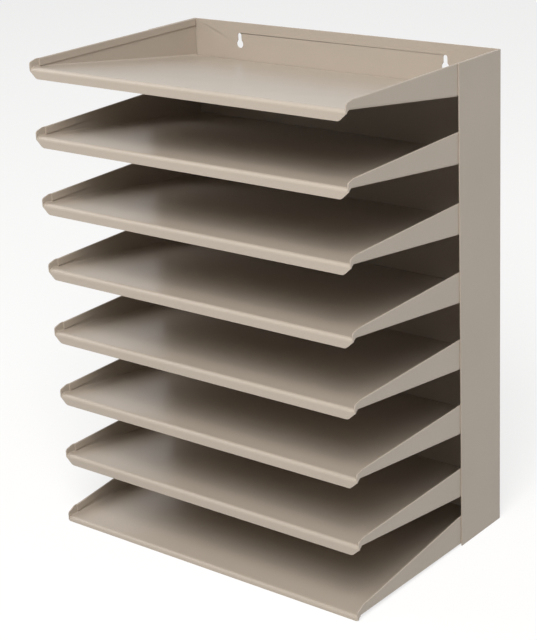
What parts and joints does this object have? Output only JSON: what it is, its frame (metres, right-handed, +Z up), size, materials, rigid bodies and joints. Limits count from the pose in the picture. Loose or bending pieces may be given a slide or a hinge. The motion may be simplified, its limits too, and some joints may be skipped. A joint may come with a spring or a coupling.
{
  "type": "desktop file sorter",
  "caption": "Upright desktop file sorter: a folded steel back channel carrying a stack of letter trays that tilt back, with tapered hemmed sides and turned-down front lips.",
  "frame": {"origin": "middle of the footprint's bounding box, on the desk surface", "axes": "+Z up; the trays open towards -Y and the back panel lies in the +Y face; +X to the right seen from the front"},
  "size_m": [0.315, 0.212, 0.4122],
  "materials": {
    "powder_coated_steel": "semi-gloss putty grey powder coat"
  },
  "bodies": {
    "root": {"back_channel": "powder_coated_steel", "top_tray": "powder_coated_steel", "tray_2": "powder_coated_steel", "tray_3": "powder_coated_steel", "tray_4": "powder_coated_steel", "tray_5": "powder_coated_steel", "tray_6": "powder_coated_steel", "tray_7": "powder_coated_steel", "base_tray": "powder_coated_steel"}
  },
  "joints": []
}
